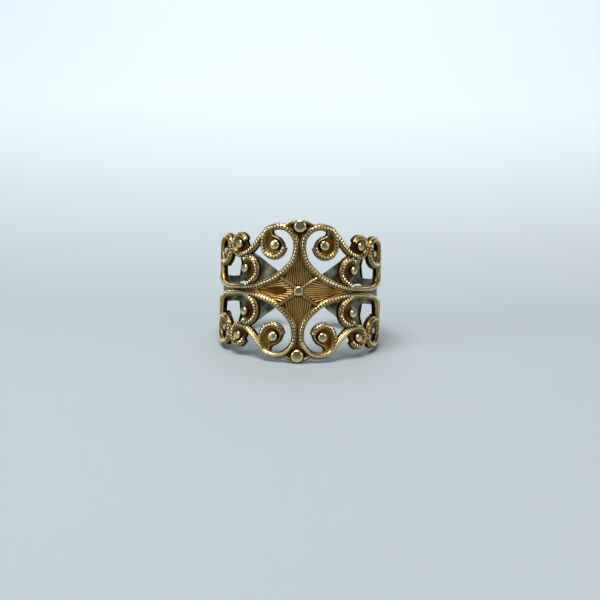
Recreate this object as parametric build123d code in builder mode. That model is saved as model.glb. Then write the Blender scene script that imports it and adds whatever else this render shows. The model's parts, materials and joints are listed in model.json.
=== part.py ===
"""A filigree band ring, pierced and embossed in one strip of brass that is rolled round and left open.

The strip is drawn flat, one quarter of it, and is the same in all four quarters: left and right of
the middle of the front, above and below the middle of the strip. The ring is modelled with its hole
along Z and the middle of its front at -Y, and is then leant back as it rests on a table.
"""
from build123d import *
from collections import namedtuple
from math import atan2, ceil, cos, degrees, pi, sin
import os

# Hole, thicknesses and heights of the metal, all in mm
finger_diameter = 17.3
web_thickness = 0.4
strand_thickness = 0.5
rope_rise = 0.35
rib_rise = 0.2
stud_rise = 0.15
back_gap = 5.0

# Extent of the pattern, and the widths of its lines
half_height = 8.0
half_arches = 5.5
strand_width = 0.8
rope_width = 0.5
rib_width = 0.3
end_stud_radius = 0.75
facet_length = 0.7

bore_radius = finger_diameter / 2
web_radius = bore_radius + web_thickness
strand_radius = bore_radius + strand_thickness
rope_radius = strand_radius + rope_rise
rib_radius = strand_radius + rib_rise
stud_radius = rope_radius + stud_rise

# Half the strip is so many arches long, and an arch is the unit along the strip
half_strip = pi * rope_radius - back_gap / 2
arch_reach = half_strip / half_arches
end_stud_up = 1 - end_stud_radius / half_height

# Tables of the flat pattern: along the strip as a share of arch_reach, up as a share of half_height
main_scroll = [
    (2.08, 0.05), (1.68, 0.04), (1.44, 0.04), (1.22, 0.05), (1.02, 0.07), (0.82, 0.11),
    (0.62, 0.16), (0.43, 0.24), (0.28, 0.33), (0.16, 0.43), (0.11, 0.54), (0.10, 0.64),
    (0.13, 0.73), (0.21, 0.81), (0.33, 0.87), (0.49, 0.895), (0.66, 0.88), (0.81, 0.84),
    (0.91, 0.765), (0.94, 0.675), (0.92, 0.595), (0.85, 0.525), (0.74, 0.48), (0.61, 0.47),
    (0.49, 0.495), (0.40, 0.545), (0.365, 0.61),
]
curl_lid = [(0.37, 0.58), (0.385, 0.66), (0.48, 0.71), (0.59, 0.735), (0.64, 0.775), (0.63, 0.86)]
outer_scroll = [
    (0.87, 0.79), (0.98, 0.72), (1.10, 0.64), (1.24, 0.56), (1.40, 0.505), (1.56, 0.495),
    (1.69, 0.525), (1.77, 0.595), (1.77, 0.675), (1.70, 0.735), (1.58, 0.76), (1.46, 0.745),
    (1.37, 0.70),
]
inner_scroll = [
    (1.38, 0.06), (1.22, 0.12), (1.10, 0.19), (1.05, 0.28), (1.09, 0.37), (1.20, 0.44),
    (1.34, 0.46), (1.44, 0.42),
]
upright = [(2.04, 0.06), (2.13, 0.12), (2.17, 0.21), (2.20, 0.31), (2.24, 0.42)]
side_loop = [
    (1.77, 0.61), (1.81, 0.68), (1.91, 0.735), (2.10, 0.755), (2.32, 0.74), (2.47, 0.68),
    (2.52, 0.575), (2.46, 0.475), (2.32, 0.41), (2.14, 0.39), (1.98, 0.41), (1.87, 0.475),
]
middle_rib = [
    (1.98, 0.045), (2.24, 0.065), (2.56, 0.105), (2.92, 0.135), (3.28, 0.145), (3.64, 0.14),
    (4.00, 0.145), (4.30, 0.165),
]
wing_edge = [
    (2.46, 0.61), (2.66, 0.595), (2.96, 0.575), (3.28, 0.595), (3.64, 0.62), (4.00, 0.62),
    (4.28, 0.59),
]
wing_brace = [(3.14, 0.15), (3.30, 0.23), (3.40, 0.34), (3.38, 0.46), (3.26, 0.59)]
hidden_scroll = [
    (2.40, 0.09), (2.52, 0.19), (2.58, 0.30), (2.68, 0.39), (2.83, 0.43), (2.97, 0.38),
    (2.98, 0.29),
]
end_scroll = [
    (4.18, 0.605), (4.46, 0.53), (4.76, 0.44), (5.02, 0.345), (5.26, 0.25), (5.41, 0.165),
    (5.37, 0.095), (5.21, 0.075), (5.08, 0.12),
]
end_rib = [(4.24, 0.16), (4.50, 0.14), (4.76, 0.11), (5.00, 0.085), (5.24, 0.075)]
star_rib = [(0.07, 0.04), (0.42, 0.19)]

# Strands: the place along the strip of the tangent plane that each one is drawn on, and its table
Strand = namedtuple("Strand", "plane_along table")
strands = [
    Strand(0.6, main_scroll), Strand(0.6, curl_lid), Strand(1.45, outer_scroll),
    Strand(1.45, inner_scroll), Strand(2.2, upright), Strand(2.2, side_loop),
    Strand(3.1, middle_rib), Strand(3.1, wing_brace), Strand(2.8, hidden_scroll),
    Strand(3.5, wing_edge), Strand(4.8, end_scroll), Strand(4.8, end_rib),
]

# Webs: thin sheet left between strands, a plane and the corners of an outline on their centre lines
Web = namedtuple("Web", "plane_along corners")
star_corners = (
    [(0, 0), (1.44, 0)] + main_scroll[2:14] + [(0.33, 0.90), (0.25, 0.93), (0.12, 0.96), (0, 0.96)]
)
curl_corners = main_scroll[16:] + curl_lid[1:]
outer_corners = outer_scroll[3:]
inner_corners = inner_scroll[1:] + [(1.46, 0.32), (1.40, 0.22), (1.28, 0.14)]
loop_corners = side_loop[7:] + side_loop[:4] + [(2.12, 0.66), (2.14, 0.56), (2.34, 0.53)]
leaf_corners = [(1.98, 0)] + middle_rib + [(4.10, 0.10), (3.70, 0)]
hidden_corners = hidden_scroll[2:] + [(2.80, 0.24)]
wing_corners = (
    [(4.06, 0.60), (4.20, 0.38), (4.12, 0.16), (4.24, 0.16)] + end_rib[1:4] + end_scroll[-3::-1]
)
webs = [
    Web(0.0, star_corners), Web(0.6, curl_corners), Web(1.45, outer_corners),
    Web(1.45, inner_corners), Web(2.2, loop_corners), Web(3.1, leaf_corners),
    Web(2.8, hidden_corners), Web(4.8, wing_corners),
]

# Studs: flattened domes, their middles and their radii as a share of end_stud_radius
Stud = namedtuple("Stud", "along up size")
studs = [
    Stud(0, 0, 0.75), Stud(0, end_stud_up, 1.0), Stud(0.55, 0.62, 0.62), Stud(1.52, 0.64, 0.55),
    Stud(1.36, 0.30, 0.55), Stud(1.92, 0.52, 0.45), Stud(2.84, 0.30, 0.5), Stud(5.20, 0.16, 0.45),
]


def angle(along):
    """Angle round the ring, from the middle of the front, of a place along the strip."""
    return along * arch_reach / rope_radius


def tangent_plane(along, depth, height=0):
    """Plane square to the ring's radius at a place along the strip, its own X along the strip."""
    turn = angle(along)
    outward = Vector(sin(turn), -cos(turn), 0)
    origin = outward * depth + Vector(0, 0, height)
    return Plane(origin=origin, x_dir=(cos(turn), sin(turn), 0), z_dir=outward)


def drawn(plane_along, table):
    """Places of a table as they stand on the tangent plane at plane_along."""
    return [
        (strand_radius * sin(angle(along) - angle(plane_along)), up * half_height)
        for along, up in table
    ]


def ribbon(points, width):
    """Corners of a line of one width whose middle runs smoothly through the points."""
    middle = Spline(*points)
    steps = ceil(middle.length / facet_length)
    shares = [step / steps for step in range(steps + 1)]
    across = [(middle % share).rotate(Axis.Z, 90) * (width / 2) for share in shares]
    left = [middle @ share + side for share, side in zip(shares, across)]
    right = [middle @ share - side for share, side in zip(shares, across)]
    return [(corner.X, corner.Y) for corner in left + right[::-1]]


def right_wall(inner, outer):
    """Right half of a tall round wall, from the middle of the front round to the back."""
    with BuildPart() as wall:
        with BuildSketch(Plane.YZ):
            with Locations((-inner, 0)):
                Rectangle(outer - inner, tall, align=(Align.MAX, Align.CENTER))
        revolve(axis=Axis.Z, revolution_arc=180)
    return wall.part


def relief(level):
    """Right half of one level of the relief: its outlines raised between its two radii."""
    with BuildPart() as half:
        for place in sorted({plane_along for plane_along, _ in level.outlines}):
            with BuildSketch(tangent_plane(place, sketch_depth)):
                for plane_along, corners in level.outlines:
                    if plane_along == place:
                        Polygon(*corners, align=None)
                mirror(about=Plane.XZ)
        extrude(amount=stud_radius)
        add(right_wall(level.inner, level.outer), mode=Mode.INTERSECT)
    return half.part


def on_planes(rows, width):
    """The ribbons of all strands at one width, each with its plane."""
    return [(row.plane_along, ribbon(drawn(*row), width)) for row in rows]


sketch_depth = bore_radius / 2
tall = 4 * half_height

# Levels of the relief. What stands on the sheet starts halfway through it.
Level = namedtuple("Level", "outlines inner outer")
root_radius = bore_radius + web_thickness / 2
levels = [
    Level([(web.plane_along, drawn(*web)) for web in webs], bore_radius, web_radius),
    Level(on_planes(strands, strand_width), bore_radius, strand_radius),
    Level(on_planes(strands, rope_width), root_radius, rope_radius),
    Level(on_planes([Strand(0, star_rib)], rib_width), root_radius, rib_radius),
]

# Right half of the studs, above and below
with BuildPart() as stud_half:
    for stud in studs:
        heights = sorted({stud.up * half_height, -stud.up * half_height})
        seats = [tangent_plane(stud.along, strand_radius, height) for height in heights]
        with Locations(*seats):
            Sphere(stud.size * end_stud_radius)
    add(right_wall(root_radius, stud_radius), mode=Mode.INTERSECT)

# The whole band with its hole upright, one half mirrored into the other
with BuildPart() as upright_band:
    for level in levels:
        add(relief(level))
    add(stud_half.part)
    mirror(about=Plane.YZ)


def lean(along, up):
    """How far the ring leans back to stand on its lower end stud and on a strand at this place."""
    drop = half_height - (up * half_height + strand_width / 2)
    return atan2(drop, strand_radius - strand_radius * cos(angle(along)))


# At rest the ring stands on the end stud in front and on the first strand that it meets behind
rest_lean = min(lean(along, up) for along, up in side_loop + wing_edge + end_scroll)
leaning = upright_band.part.rotate(Axis.X, -degrees(rest_lean))
box = leaning.bounding_box()

with BuildPart() as filigree_band:
    with Locations((-box.center().X, -box.center().Y, -box.min.Z)):
        add(leaning)

filigree_band.part.label = "filigree_band"

os.makedirs("parts", exist_ok=True)
export_step(filigree_band.part, "parts/filigree_band.step")
print("lean", degrees(rest_lean), "volume", filigree_band.part.volume)
print("hole centre", -box.center().Y, -box.min.Z, "size", box.size)
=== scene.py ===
"""A filigree finger ring of antiqued brass, rolled from one stamped strip.

The strip is modelled flat, one unit to a millimetre, as it leaves the stamping die: X runs along the
band, Y across it and Z out of it, from the face that touches the finger. One quarter is modelled and
mirrored into four. The sheet and its strands are fused into one skin, and the ropes' beads, the fluting
and the studs are closed shapes set into it. The strip is then given its wear and its marks for painted
shade, rolled round the finger hole, leant back as the frame says and brought to metres.
"""
import json
import logging
import math
from dataclasses import dataclass
from enum import Enum
from typing import Optional

import bpy
import numpy as np
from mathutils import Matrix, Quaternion, Vector


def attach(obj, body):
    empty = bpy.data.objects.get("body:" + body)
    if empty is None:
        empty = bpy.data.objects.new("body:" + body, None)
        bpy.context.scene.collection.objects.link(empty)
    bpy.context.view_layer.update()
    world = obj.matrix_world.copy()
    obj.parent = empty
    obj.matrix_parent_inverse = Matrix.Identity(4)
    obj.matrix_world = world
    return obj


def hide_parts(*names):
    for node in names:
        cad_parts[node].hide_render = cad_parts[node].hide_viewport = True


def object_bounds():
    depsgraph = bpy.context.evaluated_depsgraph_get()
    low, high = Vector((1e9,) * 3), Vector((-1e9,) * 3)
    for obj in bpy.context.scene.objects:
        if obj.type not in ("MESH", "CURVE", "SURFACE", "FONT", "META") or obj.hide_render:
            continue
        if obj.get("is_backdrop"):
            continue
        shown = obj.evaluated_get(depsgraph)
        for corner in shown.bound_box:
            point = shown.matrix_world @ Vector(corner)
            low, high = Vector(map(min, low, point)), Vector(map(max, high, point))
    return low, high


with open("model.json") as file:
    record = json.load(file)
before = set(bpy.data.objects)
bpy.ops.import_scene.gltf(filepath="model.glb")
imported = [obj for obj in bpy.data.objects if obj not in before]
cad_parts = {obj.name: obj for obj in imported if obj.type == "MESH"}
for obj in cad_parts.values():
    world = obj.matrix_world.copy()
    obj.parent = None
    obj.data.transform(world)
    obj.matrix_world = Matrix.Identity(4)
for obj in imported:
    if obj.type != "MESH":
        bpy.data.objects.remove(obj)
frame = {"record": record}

log = logging.getLogger("filigree_ring")

Point = tuple[float, float]
Point3 = tuple[float, float, float]
MM = 0.001

# The flat plan: half the band's height and the gap at its back, in millimetres, and its arches each side
HALF_HEIGHT = 8.0
BACK_GAP = 5.0
HALF_ARCHES = 5.5

# How squarely a face has to look along a direction to be picked, as a cosine
FACING = 0.9


@dataclass(frozen=True)
class Profile:
    """A strand's cross-section, in millimetres. With no pitch it has no notches."""

    foot: float
    shoulder: float
    ridge: float
    ridge_top: float
    bead: float = 0.0
    bead_top: float = 0.0
    pitch: float = 0.0


class Line(Enum):
    """How a strand of the pattern is finished along its top."""

    ROPE = Profile(0.80, 0.69, 0.56, 0.72, 0.63, 0.82, 0.37)
    RAIL = Profile(0.84, 0.68, 0.54, 0.80)
    LIP = Profile(0.48, 0.34, 0.28, 0.74)
    RIB = Profile(0.54, 0.48, 0.42, 0.76, 0.48, 0.82, 0.29)


@dataclass(frozen=True)
class Strand:
    """One line of the pattern.

    The points run along the strand's middle, as shares of an arch's reach and of half the height.
    """

    name: str
    line: Line
    points: tuple[Point, ...]


@dataclass(frozen=True)
class Web:
    """A piece of thin sheet left between strands, given by the corners of its outline, as shares."""

    name: str
    corners: tuple[Point, ...]


@dataclass(frozen=True)
class Stud:
    """A flattened dome: its middle as shares, and its radius in millimetres."""

    name: str
    along: float
    up: float
    radius: float


MAIN_SCROLL = (
    (2.08, 0.05), (1.68, 0.04), (1.44, 0.04), (1.22, 0.05), (1.02, 0.07), (0.82, 0.11),
    (0.62, 0.16), (0.43, 0.24), (0.27, 0.33), (0.15, 0.43), (0.09, 0.54), (0.08, 0.64),
    (0.11, 0.73), (0.20, 0.81), (0.33, 0.87), (0.49, 0.895), (0.66, 0.88), (0.80, 0.84),
    (0.87, 0.765), (0.89, 0.68), (0.88, 0.60), (0.82, 0.53), (0.72, 0.485), (0.60, 0.475),
    (0.49, 0.50), (0.405, 0.55), (0.37, 0.61),
)
CURL_LID = ((0.37, 0.595), (0.42, 0.668), (0.51, 0.72), (0.60, 0.745), (0.67, 0.78), (0.69, 0.86))
OUTER_SCROLL = (
    (0.87, 0.79), (0.98, 0.72), (1.10, 0.64), (1.25, 0.56), (1.43, 0.505), (1.60, 0.495),
    (1.74, 0.525), (1.82, 0.595), (1.82, 0.675), (1.75, 0.74), (1.62, 0.765), (1.49, 0.745),
    (1.39, 0.69),
)
INNER_SCROLL = (
    (1.38, 0.06), (1.22, 0.12), (1.10, 0.19), (1.05, 0.28), (1.09, 0.37), (1.20, 0.44),
    (1.34, 0.46), (1.44, 0.42),
)
UPRIGHT = ((2.42, 0.08), (2.53, 0.14), (2.60, 0.22), (2.63, 0.31), (2.62, 0.41))
SIDE_LOOP = (
    (2.60, 0.42), (2.71, 0.50), (2.73, 0.60), (2.64, 0.69), (2.46, 0.745), (2.26, 0.755),
    (2.08, 0.72), (1.99, 0.64), (1.99, 0.54), (2.06, 0.46), (2.20, 0.405), (2.40, 0.39),
    (2.56, 0.405),
)
MIDDLE_RIB = (
    (1.98, 0.045), (2.24, 0.065), (2.56, 0.105), (2.92, 0.135), (3.28, 0.145), (3.64, 0.14),
    (4.00, 0.145), (4.30, 0.165),
)
WING_EDGE = (
    (2.70, 0.61), (2.90, 0.595), (3.10, 0.58), (3.34, 0.595), (3.66, 0.62), (4.00, 0.62),
    (4.28, 0.59),
)
WING_BRACE = ((2.86, 0.125), (2.97, 0.21), (3.03, 0.32), (3.03, 0.45), (2.98, 0.58))
HIDDEN_SCROLL = (
    (3.03, 0.34), (3.10, 0.42), (3.24, 0.485), (3.42, 0.50), (3.54, 0.46), (3.54, 0.405),
    (3.44, 0.375),
)
END_SCROLL = (
    (4.18, 0.605), (4.46, 0.53), (4.76, 0.44), (5.02, 0.345), (5.26, 0.25), (5.41, 0.165),
    (5.37, 0.095), (5.21, 0.075), (5.08, 0.12),
)
END_RIB = ((4.24, 0.16), (4.50, 0.14), (4.76, 0.11), (5.00, 0.085), (5.24, 0.075))
STAR_RIB = ((0.07, 0.04), (0.42, 0.19))
COLLAR = ((0.34, 0.888), (0.26, 0.917), (0.19, 0.938), (0.12, 0.950), (0.06, 0.956), (-0.01, 0.957))

STRANDS = (
    Strand("main_scroll", Line.ROPE, MAIN_SCROLL),
    Strand("curl_lid", Line.LIP, CURL_LID),
    Strand("outer_scroll", Line.ROPE, OUTER_SCROLL),
    Strand("inner_scroll", Line.ROPE, INNER_SCROLL),
    Strand("upright", Line.RAIL, UPRIGHT),
    Strand("side_loop", Line.ROPE, SIDE_LOOP),
    Strand("middle_rib", Line.ROPE, MIDDLE_RIB),
    Strand("wing_edge", Line.RAIL, WING_EDGE),
    Strand("wing_brace", Line.RAIL, WING_BRACE),
    Strand("hidden_scroll", Line.ROPE, HIDDEN_SCROLL),
    Strand("end_scroll", Line.ROPE, END_SCROLL),
    Strand("end_rib", Line.ROPE, END_RIB),
    Strand("star_rib", Line.RIB, STAR_RIB),
    Strand("collar", Line.LIP, COLLAR),
)

# The stretch of each lower arch whose notches have been rubbed almost away
WORN_ARCH = tuple((along, -up) for along, up in MAIN_SCROLL[12:18] + OUTER_SCROLL[:4])

# How far webs reach past the middle lines, so that mirrored ones overlap
OVERLAP = 0.01
STAR_CORNERS = (
    ((-OVERLAP, -OVERLAP), (1.44, -OVERLAP)) + MAIN_SCROLL[2:14]
    + ((0.33, 0.90), (0.26, 0.935), (0.19, 0.955), (0.14, 0.972), (0.07, 0.984), (-OVERLAP, 0.986))
)
WEBS = (
    Web("star", STAR_CORNERS),
    Web("curl", MAIN_SCROLL[16:] + CURL_LID[1:]),
    Web("outer", OUTER_SCROLL[3:]),
    Web("inner", INNER_SCROLL[1:] + ((1.46, 0.32), (1.40, 0.22), (1.28, 0.14))),
    Web("loop", SIDE_LOOP[7:] + SIDE_LOOP[:3] + ((2.52, 0.575), (2.34, 0.61), (2.16, 0.62))),
    Web("leaf", ((1.98, -OVERLAP),) + MIDDLE_RIB + ((4.10, 0.10), (3.70, -OVERLAP))),
    Web("hidden", HIDDEN_SCROLL[2:] + ((3.30, 0.40),)),
    Web(
        "wing",
        ((4.06, 0.60), (4.20, 0.38), (4.12, 0.16), (4.24, 0.16)) + END_RIB[1:4] + END_SCROLL[-3::-1],
    ),
)

STUDS = (
    Stud("star_stud", 0.0, 0.0, 0.56),
    Stud("end_stud", 0.0, 0.90, 0.74),
    Stud("curl_stud", 0.577, 0.637, 0.56),
    Stud("outer_stud", 1.57, 0.645, 0.48),
    Stud("inner_stud", 1.37, 0.302, 0.46),
    Stud("loop_stud", 2.20, 0.55, 0.36),
    Stud("hidden_stud", 3.36, 0.435, 0.32),
    Stud("tip_stud", 5.20, 0.16, 0.32),
)


@dataclass(frozen=True)
class Flute:
    """One fine ridge of the star's fluting, in millimetres from the star's middle.

    It starts at one distance from its arm's middle line and ends nearer to it, further out.
    """

    aside: float
    start: float
    end: float
    end_aside: float


ALONG_FLUTES = (
    Flute(0.13, 0.62, 5.4, 0.06), Flute(0.39, 0.82, 4.6, 0.20), Flute(0.65, 1.20, 3.9, 0.40),
    Flute(0.91, 1.56, 3.4, 0.62), Flute(1.17, 1.94, 2.9, 0.88),
)
ACROSS_FLUTES = (
    Flute(0.13, 0.62, 4.4, 0.09), Flute(0.39, 0.64, 3.7, 0.25), Flute(0.65, 0.76, 3.3, 0.44),
    Flute(0.91, 0.94, 2.9, 0.68), Flute(1.17, 1.12, 2.6, 0.92), Flute(1.43, 1.30, 2.3, 1.20),
)


def linear(hex_colour: str) -> tuple[float, float, float, float]:
    """Turns an sRGB hex colour into the linear values that a node takes.

    Args:
        hex_colour: six hex digits, with or without a leading hash.

    Returns:
        Red, green, blue and alpha, linear.
    """
    digits = hex_colour.lstrip("#")
    channels = [int(digits[i : i + 2], 16) / 255 for i in (0, 2, 4)]
    curved = [c / 12.92 if c <= 0.04045 else ((c + 0.055) / 1.055) ** 2.4 for c in channels]
    return (*curved, 1.0)


def add_node(
    tree: bpy.types.NodeTree, kind: str, inputs: Optional[dict] = None, **settings
) -> bpy.types.Node:
    """Adds a node, sets its properties and fills its inputs.

    Args:
        tree: the node tree that gets the node.
        kind: the node's type name.
        inputs: values or output sockets, by the input's name or number.
        **settings: properties of the node, by name.

    Returns:
        The new node.
    """
    made = tree.nodes.new(kind)
    for name, value in settings.items():
        setattr(made, name, value)
    for key, value in (inputs or {}).items():
        if isinstance(value, bpy.types.NodeSocket):
            tree.links.new(value, made.inputs[key])
        else:
            made.inputs[key].default_value = value
    return made


def set_ramp(made: bpy.types.Node, stops: tuple[tuple[float, str], ...]) -> bpy.types.NodeSocket:
    """Gives a colour ramp its stops.

    Args:
        made: the colour ramp node.
        stops: places from 0 to 1, each with an sRGB hex colour.

    Returns:
        The ramp's colour output.
    """
    ramp = made.color_ramp
    while len(ramp.elements) < len(stops):
        ramp.elements.new(0.5)
    for element, (place, colour) in zip(ramp.elements, stops):
        element.position = place
        element.color = linear(colour)
    return made.outputs["Color"]


def select_only(*objects: bpy.types.Object) -> None:
    """Selects these objects and nothing else, and makes the first one active.

    Args:
        *objects: the objects to select.
    """
    bpy.ops.object.select_all(action="DESELECT")
    for thing in objects:
        thing.select_set(True)
    bpy.context.view_layer.objects.active = objects[0]


def named(name: str) -> bpy.types.Object:
    """Names the object that an operator has just added.

    Args:
        name: its new name.

    Returns:
        The object.
    """
    thing = bpy.context.object
    thing.name = name
    return thing


def apply_transform(thing: bpy.types.Object) -> None:
    """Puts an object's place, turn and size into its mesh."""
    select_only(thing)
    bpy.ops.object.transform_apply(location=True, rotation=True, scale=True)


def apply_modifiers(thing: bpy.types.Object) -> None:
    """Applies an object's modifiers in order.

    Args:
        thing: the object, which ends with none.
    """
    select_only(thing)
    for modifier in list(thing.modifiers):
        bpy.ops.object.modifier_apply(modifier=modifier.name)


def nothing_selected(thing: bpy.types.Object, kind: str) -> None:
    """Sets edit mode to pick faces or edges, with none picked yet.

    Args:
        thing: the object to be edited.
        kind: FACE or EDGE.
    """
    select_only(thing)
    bpy.ops.object.mode_set(mode="EDIT")
    bpy.ops.mesh.select_mode(type=kind)
    bpy.ops.mesh.select_all(action="DESELECT")
    bpy.ops.object.mode_set(mode="OBJECT")


def edit_faces(thing: bpy.types.Object, along: Vector) -> None:
    """Opens an object in edit mode with just the faces that look along a direction selected.

    Args:
        thing: the object to edit.
        along: the direction, of length 1.
    """
    nothing_selected(thing, "FACE")
    for face in thing.data.polygons:
        face.select = face.normal.dot(along) > FACING
    bpy.ops.object.mode_set(mode="EDIT")


def edit_edges(thing: bpy.types.Object, low: Vector, high: Vector) -> None:
    """Opens an object in edit mode with just the edges that lie in a box selected.

    Args:
        thing: the object to edit.
        low: the box's lowest corner.
        high: its highest corner.
    """
    nothing_selected(thing, "EDGE")
    for edge in thing.data.edges:
        ends = [thing.data.vertices[i].co for i in edge.vertices]
        edge.select = all(low[axis] < end[axis] < high[axis] for end in ends for axis in range(3))
    bpy.ops.object.mode_set(mode="EDIT")


def joined(objects: list[bpy.types.Object], name: str) -> bpy.types.Object:
    """Joins objects into one.

    Args:
        objects: the objects, of which the first takes in the others.
        name: its new name.

    Returns:
        The joined object.
    """
    select_only(*objects)
    bpy.ops.object.join()
    return named(name)


@dataclass
class FlatStrip:
    """The stamped strip before it is rolled. Sizes are in millimetres.

    Heights are measured out from the face that touches the finger. A stud's rise over the strands and
    the rounding of its rim are shares of its radius, a bead's length is a share of the pitch, a flute's
    taper is its thin end as a share of its thick one, and a tile's lap is its length over its pitch.
    """

    arch_reach: float
    half_height: float
    sheet_top: float = 0.40
    strand_top: float = 0.50
    stud_top: float = 0.98
    stud_foot: float = 0.38
    stud_rise: float = 0.85
    stud_round: float = 0.42
    bead_share: float = 0.76
    worn_corner: float = 0.035
    worn_top: float = 0.805
    body_pitch: float = 0.18
    flute_radius: float = 0.13
    tile_lap: float = 1.02
    flute_taper: float = 0.6
    bar_sides: int = 14
    stud_sides: int = 26
    flute_sides: int = 10
    voxel: float = 0.05
    soften_share: float = 0.5
    soften_steps: int = 2
    base_triangles: int = 86_000

    def place(self, share: Point) -> Point:
        """Turns shares of the pattern into millimetres."""
        return share[0] * self.arch_reach, share[1] * self.half_height

    def path(self, name: str, points: tuple[Point, ...], closed: bool = False) -> bpy.types.Object:
        """Draws a flat curve through points, smooth if it is open and with straight sides if closed.

        Args:
            name: the curve's name.
            points: the points, as shares.
            closed: whether the curve closes.

        Returns:
            The curve object.
        """
        bpy.ops.curve.primitive_bezier_curve_add(location=(0, 0, 0))
        curve = named(name)
        curve.data.dimensions = "2D"
        spline = curve.data.splines[0]
        spline.bezier_points.add(len(points) - len(spline.bezier_points))
        spline.use_cyclic_u = closed
        for knot, share in zip(spline.bezier_points, points):
            knot.co = (*self.place(share), 0)
            knot.handle_left_type = knot.handle_right_type = "VECTOR" if closed else "AUTO"
        return curve

    def laid_along(
        self, tile: bpy.types.Object, curve: bpy.types.Object, pitch: float
    ) -> bpy.types.Object:
        """Repeats a tile along a curve, bent to follow it.

        Args:
            tile: a mesh that stands in the middle of the first pitch from X 0.
            curve: the curve to follow.
            pitch: the wanted distance from one tile to the next.

        Returns:
            The tile's object, now the whole row.
        """
        length = curve.data.splines[0].calc_length()
        count = max(2, round(length / pitch))
        row = tile.modifiers.new("row", "ARRAY")
        row.count = count
        row.use_relative_offset = False
        row.use_constant_offset = True
        row.constant_offset_displace = (length / count, 0, 0)
        bent = tile.modifiers.new("bent", "CURVE")
        bent.object = curve
        apply_modifiers(tile)
        return tile

    def body_tile(self, line: Line) -> bpy.types.Object:
        """Makes one length of a strand's body, wide at its foot and narrower at its shoulders.

        Args:
            line: the strand's finish, which says how wide.

        Returns:
            The tile's object.
        """
        length = self.body_pitch
        bpy.ops.mesh.primitive_cube_add(size=1, location=(length / 2, 0, self.strand_top / 2))
        tile = named("body_tile")
        tile.scale = (length * self.tile_lap, line.value.foot, self.strand_top)
        apply_transform(tile)
        edit_faces(tile, Vector((0, 0, 1)))
        narrow = line.value.shoulder / line.value.foot
        middle = (length / 2, 0, self.strand_top)
        bpy.ops.transform.resize(value=(1, narrow, 1), center_override=middle)
        bpy.ops.object.mode_set(mode="OBJECT")
        return tile

    def round_tile(self, depth: float, pitch: float, width: float, top: float) -> bpy.types.Object:
        """Makes one length of round bar, half sunk in its strand.

        Args:
            depth: the bar's own length.
            pitch: the length that it stands in the middle of.
            width: its width.
            top: the height of its top.

        Returns:
            The bar's object.
        """
        bpy.ops.mesh.primitive_cylinder_add(
            vertices=self.bar_sides, radius=0.5, depth=depth, rotation=(0, math.pi / 2, 0)
        )
        tile = named("round_tile")
        apply_transform(tile)
        tile.scale = (1, width, 2 * (top - self.sheet_top))
        tile.location = (pitch / 2, 0, self.sheet_top)
        apply_transform(tile)
        return tile

    def bead_tile(self, line: Line) -> bpy.types.Object:
        """Makes one bead of a rope: a short bar with worn corners.

        Args:
            line: the strand's finish, which says how wide and high.

        Returns:
            The bead's object.
        """
        pitch = line.value.pitch
        tile = self.round_tile(pitch * self.bead_share, pitch, line.value.bead, line.value.bead_top)
        for end in (-1, 1):
            edit_faces(tile, Vector((end, 0, 0)))
            bpy.ops.mesh.bevel(offset=self.worn_corner, segments=1, affect="EDGES")
            bpy.ops.object.mode_set(mode="OBJECT")
        return tile

    def strand(self, row: Strand) -> tuple[list[bpy.types.Object], list[bpy.types.Object]]:
        """Models one strand.

        Args:
            row: the strand's name, finish and points.

        Returns:
            The meshes that are fused into the sheet, and the beads that are set into it.
        """
        curve = self.path(row.name, row.points)
        profile = row.line.value
        pitch = self.body_pitch
        ridge = self.round_tile(pitch * self.tile_lap, pitch, profile.ridge, profile.ridge_top)
        body = [
            self.laid_along(self.body_tile(row.line), curve, pitch),
            self.laid_along(ridge, curve, pitch),
        ]
        beads = []
        if profile.pitch:
            beads.append(self.laid_along(self.bead_tile(row.line), curve, profile.pitch))
        bpy.data.objects.remove(curve)
        return body, beads

    def web(self, row: Web) -> bpy.types.Object:
        """Models one web as a plate of the sheet's thickness.

        Args:
            row: the web's name and corners.

        Returns:
            The plate's mesh.
        """
        plate = self.path(row.name, row.corners, closed=True)
        plate.data.fill_mode = "BOTH"
        plate.data.extrude = self.sheet_top / 2
        plate.location.z = self.sheet_top / 2
        select_only(plate)
        bpy.ops.object.convert(target="MESH")
        apply_transform(plate)
        return plate

    def worn_arch(self) -> bpy.types.Object:
        """Models the metal that fills the notches of the lower right arch where it is worn smooth.

        Returns:
            The bar's mesh.
        """
        curve = self.path("worn_arch", WORN_ARCH)
        pitch = self.body_pitch
        bar = self.round_tile(pitch * self.tile_lap, pitch, Line.ROPE.value.bead, self.worn_top)
        self.laid_along(bar, curve, pitch)
        bpy.data.objects.remove(curve)
        return bar

    def stud(self, row: Stud, middle: Point) -> bpy.types.Object:
        """Models one stud: a dome whose top has been struck flat.

        Args:
            row: the stud's name and radius.
            middle: where it stands, in millimetres.

        Returns:
            The stud's mesh.
        """
        top = min(self.stud_top, self.strand_top + self.stud_rise * row.radius)
        height = top - self.stud_foot
        bpy.ops.mesh.primitive_cylinder_add(
            vertices=self.stud_sides, radius=row.radius, depth=height,
            location=(*middle, self.stud_foot + height / 2),
        )
        dome = named(row.name)
        apply_transform(dome)
        edit_faces(dome, Vector((0, 0, 1)))
        bpy.ops.mesh.bevel(offset=self.stud_round * row.radius, segments=4, affect="EDGES")
        bpy.ops.object.mode_set(mode="OBJECT")
        return dome

    def studs(self) -> list[bpy.types.Object]:
        """Models every stud of the strip, once where it stands on a middle line.

        Returns:
            The studs' meshes.
        """
        made = []
        for row in STUDS:
            x, y = self.place((row.along, row.up))
            for middle in sorted({(x, y), (-x, y), (x, -y), (-x, -y)}):
                made.append(self.stud(row, middle))
        return made

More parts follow.
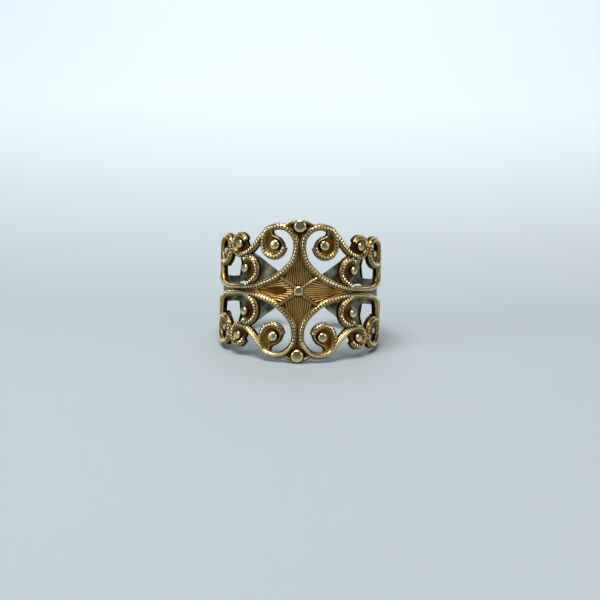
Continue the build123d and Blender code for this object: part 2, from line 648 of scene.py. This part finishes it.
    def flute(self, row: Flute, turned: bool) -> bpy.types.Object:
        """Models one fine ridge of the star's fluting.

        Args:
            row: where it starts and ends.
            turned: whether its arm runs across the band.

        Returns:
            The ridge's mesh.
        """
        start = Vector((row.start, row.aside))
        end = Vector((row.end, row.end_aside))
        if turned:
            start, end = start.yx, end.yx
        run = end - start
        middle = (start + end) / 2
        bpy.ops.mesh.primitive_cone_add(
            vertices=self.flute_sides, radius1=self.flute_radius,
            radius2=self.flute_radius * self.flute_taper,
            depth=run.length, location=(middle.x, middle.y, self.sheet_top),
            rotation=(0, math.pi / 2, math.atan2(run.y, run.x)),
        )
        ridge = named("flute")
        apply_transform(ridge)
        return ridge

    def flutes(self) -> list[bpy.types.Object]:
        """Models the fluting of one quarter of the star, along the band and across it."""
        made = [self.flute(row, turned=False) for row in ALONG_FLUTES]
        return made + [self.flute(row, turned=True) for row in ACROSS_FLUTES]

    def mirrored(self, part: bpy.types.Object, across: bool = True) -> None:
        """Mirrors a part of the pattern left to right and, unless told not to, top to bottom.

        Args:
            part: the part's object, on one side of the middle lines.
            across: whether it is mirrored top to bottom too.
        """
        mirror = part.modifiers.new("mirrored", "MIRROR")
        mirror.use_axis = (True, across, False)
        mirror.use_mirror_merge = False
        apply_modifiers(part)

    def build(self) -> bpy.types.Object:
        """Fuses the sheet and its strands into one soft skin, then sets the crisp relief into it.

        Returns:
            The flat strip's object.
        """
        worn = self.worn_arch()
        self.mirrored(worn, across=False)
        base = [self.web(row) for row in WEBS]
        beads = self.flutes()
        for row in STRANDS:
            bodies, notched = self.strand(row)
            base += bodies
            beads += notched
        log.info("strands laid")
        strip = joined(base, "quarters")
        self.mirrored(strip)
        strip = joined([strip, worn], "stamped_strip")
        strip.data.remesh_voxel_size = self.voxel
        bpy.ops.object.voxel_remesh()
        log.info("sheet fused")
        soften = strip.modifiers.new("softened", "SMOOTH")
        soften.factor = self.soften_share
        soften.iterations = self.soften_steps
        apply_modifiers(strip)
        faces = len(strip.data.polygons)
        thin = strip.modifiers.new("thinned", "DECIMATE")
        thin.ratio = min(1.0, self.base_triangles / (2 * faces))
        apply_modifiers(strip)
        log.info("sheet: %d faces fused, %d triangles left", faces, len(strip.data.polygons))
        crisp = joined(beads, "beads")
        self.mirrored(crisp)
        return joined([strip, crisp, *self.studs()], "struck_strip")


@dataclass
class RolledBand:
    """The strip rolled into the ring, at rest in the frame.

    Sizes are in millimetres, the lean is in radians, and the hole's middle is in the frame's metres.
    Edges that turn by more than the crisp angle, in degrees, stay sharp. The painted shade on steep
    flanks begins below one share of the full height, and is at full strength another share lower. The
    flat UV map spans so many half heights.
    """

    bore_radius: float
    rope_radius: float
    lean: float
    hole_middle: Vector
    strip: FlatStrip
    crisp_angle: float = 36.0
    flank_top: float = 0.68
    flank_fade: float = 0.16
    map_heights: float = 8.0

    def mark_wear_and_shade(self, thing: bpy.types.Object) -> None:
        """Records, on the flat strip, what the finish needs to know of each point.

        The attribute relief says how high it stands out of the face that touches the finger, and flank
        how steeply it falls low down, where the finish paints shade on it.

        Args:
            thing: the flat strip. It gains both attributes and a UV map of the flat pattern.
        """
        mesh = thing.data
        count = len(mesh.vertices)
        places = np.empty(count * 3, np.float32)
        mesh.vertices.foreach_get("co", places)
        places = places.reshape(-1, 3).astype(float)
        relief = places[:, 2] / self.strip.stud_top
        layer = mesh.attributes.new("relief", "FLOAT", "POINT")
        layer.data.foreach_set("value", np.clip(relief, 0, 1).astype(np.float32))
        normals = np.empty(count * 3, np.float32)
        mesh.vertex_normals.foreach_get("vector", normals)
        # Low steep flanks are marked for painted shade
        steep = 1 - np.abs(normals.reshape(-1, 3)[:, 2])
        flank = steep * np.clip((self.flank_top - relief) / self.flank_fade, 0, 1)
        layer = mesh.attributes.new("flank", "FLOAT", "POINT")
        layer.data.foreach_set("value", flank.astype(np.float32))
        flat = mesh.uv_layers.new(name="flat")
        corners = np.empty(len(mesh.loops), np.int32)
        mesh.loops.foreach_get("vertex_index", corners)
        spread = self.map_heights * self.strip.half_height
        flat.data.foreach_set("uv", (places[corners, :2] / spread + 0.5).astype(np.float32).ravel())

    def build(self, finish: "AntiquedBrass") -> bpy.types.Object:
        """Rolls the strip, leans it and dresses it.

        Args:
            finish: the metal's finish.

        Returns:
            The ring's object, in metres, in the frame.
        """
        ring = self.strip.build()
        self.mark_wear_and_shade(ring)
        ring.location.z = self.bore_radius - self.rope_radius
        apply_transform(ring)
        ring.rotation_euler.x = math.pi / 2
        apply_transform(ring)
        roll = ring.modifiers.new("rolled", "SIMPLE_DEFORM")
        roll.deform_method = "BEND"
        roll.deform_axis = "Z"
        roll.angle = ring.dimensions.x / self.rope_radius
        apply_modifiers(ring)
        ring.location.y = -self.rope_radius
        apply_transform(ring)
        ring.rotation_euler.x = -self.lean
        ring.scale = (MM, MM, MM)
        ring.location = self.hole_middle
        apply_transform(ring)
        select_only(ring)
        bpy.ops.object.shade_smooth_by_angle(angle=math.radians(self.crisp_angle))
        ring.name = ring.data.name = "rolled_filigree"
        ring.data.materials.clear()
        ring.data.materials.append(finish.material())
        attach(ring, "root")
        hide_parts("filigree_band")
        return ring


@dataclass(frozen=True)
class AntiquedBrass:
    """Brass sheet darkened in a patina bath and then relieved by hand on a soft wheel.

    The wheel reaches the ropes and studs, which it burnishes to pale gold. The sheet keeps a golden
    brown, and the face that touches the finger keeps its grey green. The creases are darkened nearly to
    black, partly as patina the wheel left and partly as painted shade found by ambient occlusion, and
    low steep flanks are darkened as painted shade.
    Sizes are in millimetres, and the patches' swing is a share of the full height. The low metal is
    rougher than the high.
    """

    patch_size: float = 1.6
    patch_swing: float = 0.16
    grain_size: float = 0.12
    grain_depth: float = 0.02
    crease_reach: float = 0.35
    crease_colour: str = "#1d1108"
    low_roughness: float = 0.50
    high_roughness: float = 0.22

    def material(self) -> bpy.types.Material:
        """Builds the finish.

        Returns:
            The material.
        """
        made = bpy.data.materials.new("antiqued_brass_relieved")
        made.use_nodes = True
        tree = made.node_tree
        tree.nodes.clear()
        out = add_node(tree, "ShaderNodeOutputMaterial")
        here = add_node(tree, "ShaderNodeTexCoord").outputs["Object"]
        relief = add_node(tree, "ShaderNodeAttribute", attribute_name="relief").outputs["Fac"]
        # Ambient occlusion finds the creases, whose darkening is partly patina and partly painted shade
        open_to_light = add_node(
            tree, "ShaderNodeAmbientOcclusion", {"Distance": self.crease_reach * MM},
            samples=8, only_local=True,
        ).outputs["AO"]
        patches = add_node(
            tree, "ShaderNodeTexNoise",
            {"Vector": here, "Scale": 1 / (self.patch_size * MM), "Detail": 4.0, "Roughness": 0.6},
        ).outputs["Fac"]
        grain = add_node(
            tree, "ShaderNodeTexNoise",
            {"Vector": here, "Scale": 1 / (self.grain_size * MM), "Detail": 3.0, "Roughness": 0.55},
        ).outputs["Fac"]
        # Height in the relief picks the tone, moved a little by the patches
        moved = add_node(
            tree, "ShaderNodeMath", {0: patches, 1: self.patch_swing, 2: relief},
            operation="MULTIPLY_ADD",
        ).outputs[0]
        lifted = add_node(
            tree, "ShaderNodeMath", {0: moved, 1: self.patch_swing / 2}, operation="SUBTRACT"
        ).outputs[0]
        tone = set_ramp(
            add_node(tree, "ShaderNodeValToRGB", {"Fac": lifted}),
            (
                (0.00, "#33281a"), (0.30, "#432a0d"), (0.40, "#5f3c11"), (0.46, "#a8762d"),
                (0.53, "#e6bf78"), (0.60, "#b58c4d"), (0.73, "#86703f"), (0.82, "#ecdcac"),
                (1.00, "#dfcf9e"),
            ),
        )
        patina = set_ramp(
            add_node(tree, "ShaderNodeValToRGB", {"Fac": patches}),
            ((0.30, "#24281f"), (0.45, "#57594a"), (0.58, "#908f78"), (0.72, "#b9b8a0")),
        )
        inside = add_node(
            tree, "ShaderNodeMapRange",
            {"Value": relief, "From Min": 0.02, "From Max": 0.12, "To Min": 1.0, "To Max": 0.0},
        ).outputs["Result"]
        toned = add_node(
            tree, "ShaderNodeMix", {0: inside, 6: tone, 7: patina}, data_type="RGBA"
        ).outputs[2]
        crease = add_node(
            tree, "ShaderNodeMapRange",
            {"Value": open_to_light, "From Min": 0.88, "From Max": 0.35, "To Min": 0.0, "To Max": 0.95},
        ).outputs["Result"]
        # Painted shade on the low steep flanks
        flank = add_node(tree, "ShaderNodeAttribute", attribute_name="flank").outputs["Fac"]
        shaded = add_node(
            tree, "ShaderNodeMapRange",
            {"Value": flank, "From Min": 0.25, "From Max": 0.8, "To Min": 0.0, "To Max": 0.85},
        ).outputs["Result"]
        patina_and_shade = add_node(
            tree, "ShaderNodeMath", {0: crease, 1: shaded}, operation="MAXIMUM"
        ).outputs[0]
        # Crease patina and painted shade pull the tone towards the crease colour
        colour = add_node(
            tree, "ShaderNodeMix", {0: patina_and_shade, 6: toned, 7: linear(self.crease_colour)},
            data_type="RGBA",
        ).outputs[2]
        dull = add_node(
            tree, "ShaderNodeMapRange",
            {
                "Value": lifted, "From Min": 0.2, "From Max": 0.85,
                "To Min": self.low_roughness, "To Max": self.high_roughness,
            },
        ).outputs["Result"]
        bump = add_node(
            tree, "ShaderNodeBump",
            {"Height": grain, "Strength": 0.35, "Distance": self.grain_depth * MM},
        ).outputs["Normal"]
        shader = add_node(
            tree, "ShaderNodeBsdfPrincipled",
            {"Base Color": colour, "Metallic": 1.0, "Roughness": dull, "Normal": bump},
        )
        tree.links.new(shader.outputs["BSDF"], out.inputs["Surface"])
        return made


@dataclass(frozen=True)
class PaperSweep:
    """Matt paper, laid flat and swept up behind: it scatters all light and has a faint tooth.

    It is painted darker near the ring and paler further behind it, as painted shade, between two
    distances behind the ring, in metres. Its tooth and the tooth's depth are in millimetres.
    """

    shaded_floor_colour: str = "#9ba7ad"
    back_colour: str = "#e3eef4"
    paler_from: float = 0.02
    paler_to: float = 0.25
    tooth: float = 0.4
    tooth_depth: float = 0.02
    roughness: float = 0.85

    def material(self) -> bpy.types.Material:
        """Builds the paper, with painted shade near the ring that grows paler towards its back.

        Returns:
            The material.
        """
        made = bpy.data.materials.new("matt_paper")
        made.use_nodes = True
        tree = made.node_tree
        tree.nodes.clear()
        out = add_node(tree, "ShaderNodeOutputMaterial")
        here = add_node(tree, "ShaderNodeTexCoord").outputs["Object"]
        split = add_node(tree, "ShaderNodeSeparateXYZ", {0: here})
        # Painted shade: the floor is darker near the ring and paler further behind it
        behind = add_node(
            tree, "ShaderNodeMapRange",
            {
                "Value": split.outputs["Y"], "From Min": self.paler_from, "From Max": self.paler_to,
                "To Min": 0.0, "To Max": 1.0,
            },
        ).outputs["Result"]
        colour = add_node(
            tree, "ShaderNodeMix",
            {0: behind, 6: linear(self.shaded_floor_colour), 7: linear(self.back_colour)}, data_type="RGBA",
        ).outputs[2]
        tooth = add_node(
            tree, "ShaderNodeTexNoise", {"Vector": here, "Scale": 1 / (self.tooth * MM), "Detail": 2.0}
        ).outputs["Fac"]
        bump = add_node(
            tree, "ShaderNodeBump",
            {"Height": tooth, "Strength": 0.1, "Distance": self.tooth_depth * MM},
        ).outputs["Normal"]
        shader = add_node(
            tree, "ShaderNodeBsdfPrincipled",
            {"Base Color": colour, "Roughness": self.roughness, "Normal": bump},
        )
        tree.links.new(shader.outputs["BSDF"], out.inputs["Surface"])
        return made


@dataclass(frozen=True)
class Lamp:
    """One square soft light. With no aim it faces the ring. Lengths are in metres, power in watts."""

    name: str
    place: Point3
    size: float
    power: float
    colour: str
    aim: Optional[Point3] = None


LAMPS = (
    Lamp("softbox_above", (-0.04, -0.08, 0.31), 0.17, 1.3, "#fffaf2"),
    Lamp("fill_left", (-0.28, -0.20, 0.14), 0.16, 0.30, "#eaf2ff"),
    Lamp("fill_right", (0.30, -0.18, 0.16), 0.16, 0.22, "#fff4e4"),
    Lamp("background_wash", (0, 0.30, 0.38), 0.30, 0.9, "#f4f8ff", aim=(0, 0.38, 0.05)),
)


@dataclass
class Studio:
    """The pale sweep, the soft lights and the camera.

    Lengths are in metres and angles in degrees, but the lean is in radians and the sensor's width in
    millimetres. The camera was set from the photograph, taken as square, in pixels.
    """

    target: Vector
    lean: float
    distance: float = 0.150
    look_up: float = 0.8
    aside: float = 1.07
    roll: float = 1.2
    focal_pixels: float = 1271.7
    image_pixels: float = 600.0
    target_pixel: Point = (299.9, 290.0)
    sensor: float = 36.0
    nearest: float = 0.005
    room_colour: str = "#c3ced6"
    room_strength: float = 0.20
    paper_side: float = 1.6
    paper_forward: float = 0.3
    paper_rise: float = 1.0
    paper_curve: float = 0.35
    fold_reach: float = 0.1

    def sweep(self) -> None:
        """Lays the paper: a floor that curves up into a back wall."""
        bpy.ops.mesh.primitive_plane_add(size=self.paper_side, location=(0, -self.paper_forward, 0))
        paper = named("paper_sweep")
        apply_transform(paper)
        back = self.paper_side / 2 - self.paper_forward
        reach = Vector((self.paper_side, self.fold_reach, self.fold_reach))
        fold = Vector((0, back, 0)) - reach, Vector((0, back, 0)) + reach
        edit_edges(paper, *fold)
        bpy.ops.mesh.extrude_region_move(TRANSFORM_OT_translate={"value": (0, 0, self.paper_rise)})
        bpy.ops.object.mode_set(mode="OBJECT")
        edit_edges(paper, *fold)
        bpy.ops.mesh.bevel(offset=self.paper_curve, segments=24, affect="EDGES")
        bpy.ops.object.mode_set(mode="OBJECT")
        bpy.ops.object.shade_smooth()
        paper.data.materials.append(PaperSweep().material())
        paper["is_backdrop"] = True

    def light(self, row: Lamp) -> None:
        """Hangs one light.

        Args:
            row: the light's name, place, size, power, colour and aim.
        """
        bpy.ops.object.light_add(type="AREA", location=row.place)
        lamp = named(row.name)
        lamp.data.size = row.size
        lamp.data.energy = row.power
        lamp.data.color = linear(row.colour)[:3]
        away = Vector(row.place) - Vector(row.aim or self.target)
        lamp.rotation_mode = "QUATERNION"
        lamp.rotation_quaternion = away.to_track_quat("Z", "Y")

    def camera(self) -> None:
        """Sets the camera square to the ring's front, as the photograph's was."""
        bpy.ops.object.camera_add()
        camera = named("camera")
        camera.data.sensor_width = self.sensor
        camera.data.lens = self.sensor * self.focal_pixels / self.image_pixels
        camera.data.clip_start = self.nearest
        rise = self.lean + math.radians(self.look_up)
        turn = math.radians(self.aside)
        back = Vector((
            math.sin(turn) * math.cos(rise), -math.cos(turn) * math.cos(rise), math.sin(rise)
        ))
        camera.location = self.target + back * self.distance
        camera.rotation_mode = "QUATERNION"
        half = self.image_pixels / 2
        yaw = math.atan((self.target_pixel[0] - half) / self.focal_pixels)
        pitch = math.atan((half - self.target_pixel[1]) / self.focal_pixels)
        turned = (-back).to_track_quat("-Z", "Y")
        for axis, amount in (("X", -pitch), ("Y", yaw), ("Z", math.radians(self.roll))):
            step = Vector([float(axis == name) for name in "XYZ"])
            turned = turned @ Quaternion(step, amount)
        camera.rotation_quaternion = turned
        bpy.context.scene.camera = camera

    def build(self) -> None:
        """Sets up everything that isn't the ring."""
        self.sweep()
        for row in LAMPS:
            self.light(row)
        world = bpy.data.worlds.new("pale_room")
        bpy.context.scene.world = world
        world.use_nodes = True
        background = world.node_tree.nodes["Background"]
        background.inputs["Color"].default_value = linear(self.room_colour)
        background.inputs["Strength"].default_value = self.room_strength
        bpy.context.scene.view_settings.view_transform = "Standard"
        self.camera()


def main() -> None:
    """Builds the ring and its studio."""
    logging.basicConfig(level=logging.INFO, format="%(relativeCreated)d ms %(name)s: %(message)s")
    cad_box = [list(corner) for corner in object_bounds()]
    hole = frame["record"]["mounts"][0]
    lean = math.atan2(hole["axis"][1], hole["axis"][2])
    rope_radius = cad_box[1][0] / MM
    arch_reach = (math.pi * rope_radius - BACK_GAP / 2) / HALF_ARCHES
    strip = FlatStrip(arch_reach=arch_reach, half_height=HALF_HEIGHT)
    middle = Vector(hole["pos_m"])
    band = RolledBand(
        bore_radius=hole["dims"]["r_mm"], rope_radius=rope_radius, lean=lean,
        hole_middle=middle, strip=strip,
    )
    ring = band.build(AntiquedBrass())
    log.info("%s: %d triangles", ring.name, len(ring.data.polygons))
    Studio(target=middle, lean=lean).build()


if __name__ == "__main__":
    main()
